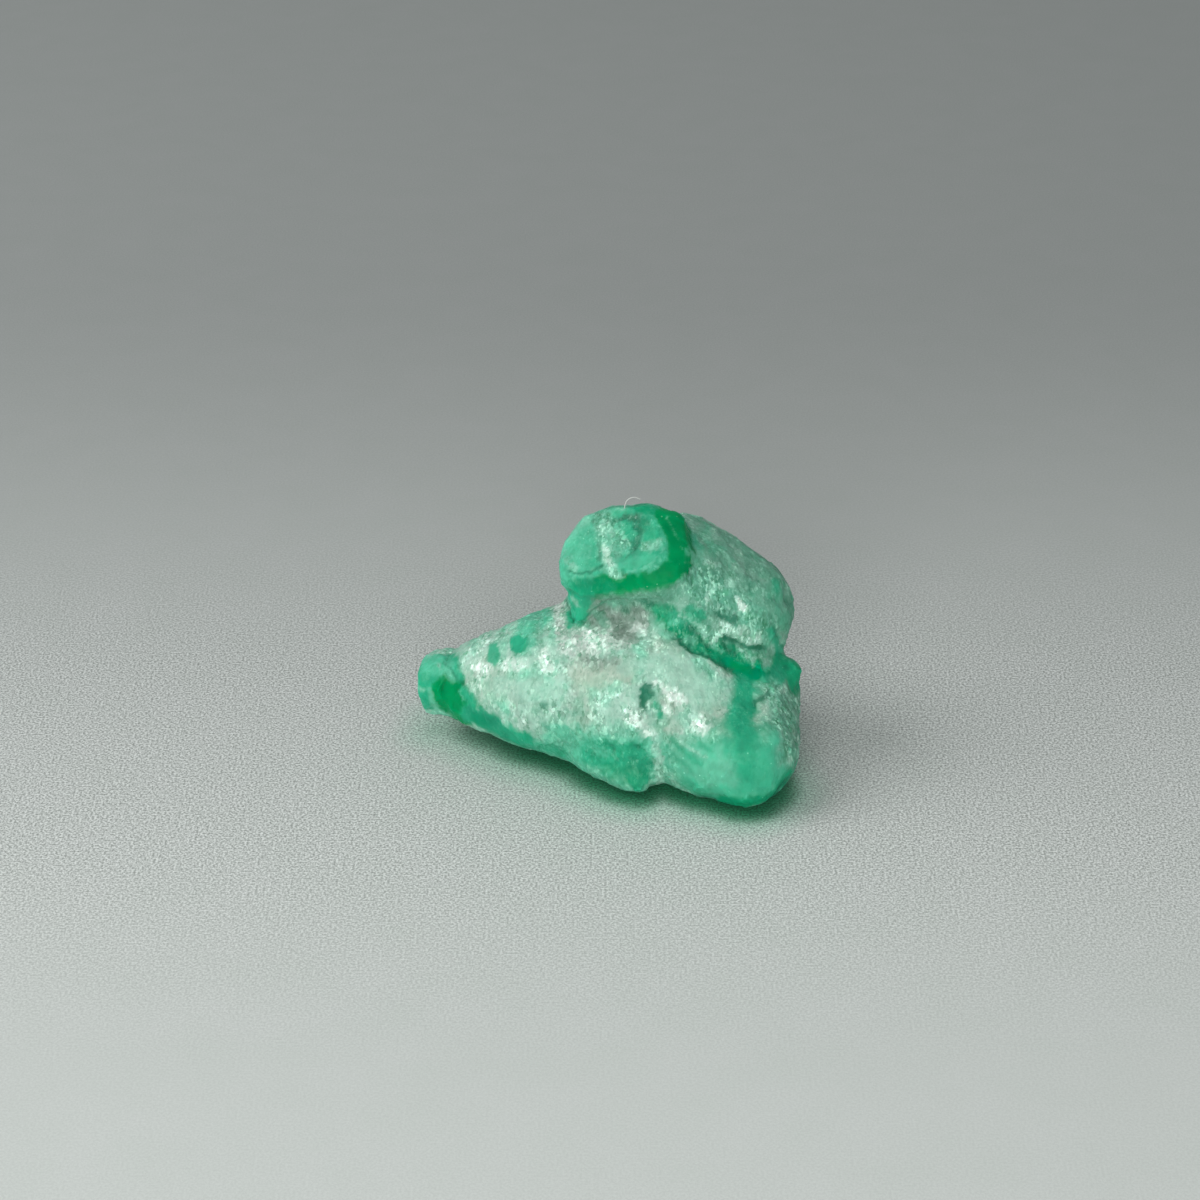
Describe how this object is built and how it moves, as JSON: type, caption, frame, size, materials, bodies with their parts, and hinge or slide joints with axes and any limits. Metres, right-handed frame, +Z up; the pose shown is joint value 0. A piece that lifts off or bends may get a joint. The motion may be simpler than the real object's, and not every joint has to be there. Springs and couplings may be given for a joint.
{
  "type": "raw emerald crystal",
  "caption": "Rough natural emerald: stubby green crystals grown together in pale sugary matrix, resting on its own flat underside.",
  "frame": {"origin": "bottom centre of the stone's box, on the surface that it rests on", "axes": "+Z up, +X along the stone's long way towards its heavy end, -Y out of the broad pale face"},
  "size_m": [0.0118, 0.0074, 0.0084],
  "materials": {
    "emerald": "cloudy translucent green beryl, glassy on the crystals and frosty, sugary and pale on the matrix"
  },
  "bodies": {
    "root": {"raw_emerald": "emerald"}
  },
  "joints": []
}
